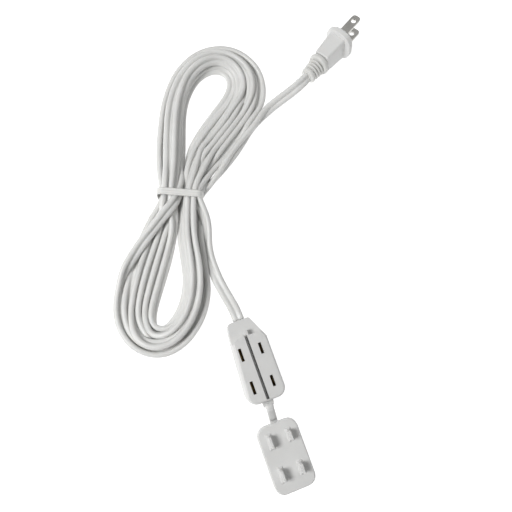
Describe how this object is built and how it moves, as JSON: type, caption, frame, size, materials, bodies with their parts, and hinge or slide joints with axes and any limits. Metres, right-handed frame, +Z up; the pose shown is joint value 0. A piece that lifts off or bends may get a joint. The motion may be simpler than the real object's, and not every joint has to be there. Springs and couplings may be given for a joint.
{
  "type": "extension cord",
  "caption": "Household flat-cord extension cord: polarised plug, cord tied in a hank, and a slim outlet block with a tethered safety cover.",
  "frame": {"origin": "on the surface the cord lies on, under the middle of the outlet block, tether and open cover", "axes": "+Z up, out of the outlet face; +Y along the block towards its cord entry; +X towards the side with the shorter slots"},
  "size_m": [0.2227, 0.2942, 0.0253],
  "materials": {
    "housing": "white moulded housing plastic, satin",
    "cover_plastic": "white flexible polyethylene, satin",
    "cord_vinyl": "white extruded vinyl jacket, soft sheen",
    "relief_vinyl": "white moulded vinyl, soft sheen",
    "tie_plastic": "white ribbed plastic strip",
    "insulator": "matt insulating moulding",
    "blade_metal": "nickel-plated brass, lightly brushed",
    "contact_brass": "bare sheet brass",
    "copper_strand": "bare copper strands"
  },
  "bodies": {
    "block_and_cord": {"outlet_front_shell": "housing", "outlet_back_shell": "housing", "contact_carrier": "insulator", "neutral_contact_strip": "contact_brass", "hot_contact_strip": "contact_brass", "outlet_core_neutral": "cord_vinyl", "outlet_core_hot": "cord_vinyl", "outlet_wire_neutral": "copper_strand", "outlet_wire_hot": "copper_strand", "outlet_cord_grip": "cord_vinyl", "tether_anchor": "cover_plastic", "plug_body": "housing", "plug_blade_carrier": "housing", "plug_blade_neutral": "blade_metal", "plug_blade_hot": "blade_metal", "plug_core_neutral": "cord_vinyl", "plug_core_hot": "cord_vinyl", "plug_wire_neutral": "copper_strand", "plug_wire_hot": "copper_strand", "plug_strain_relief": "relief_vinyl", "cord_run_to_outlet": "cord_vinyl", "cord_hank": "cord_vinyl", "cord_run_to_plug": "cord_vinyl", "bundle_tie": "tie_plastic"},
    "tether": {"tether_strap": "cover_plastic"},
    "cover": {"safety_cover": "cover_plastic"}
  },
  "joints": [
    {"name": "tether_flex", "type": "hinge", "parent": "block_and_cord", "child": "tether", "pos_m": [0, -0.0019, 0.0123], "axis": [-1, 0, 0], "range_deg": [0, 146.81]},
    {"name": "cover_flex", "type": "hinge", "parent": "tether", "child": "cover", "pos_m": [0, -0.011, 0.0045], "axis": [-1, 0, 0], "range_deg": [0, 33.19]}
  ]
}
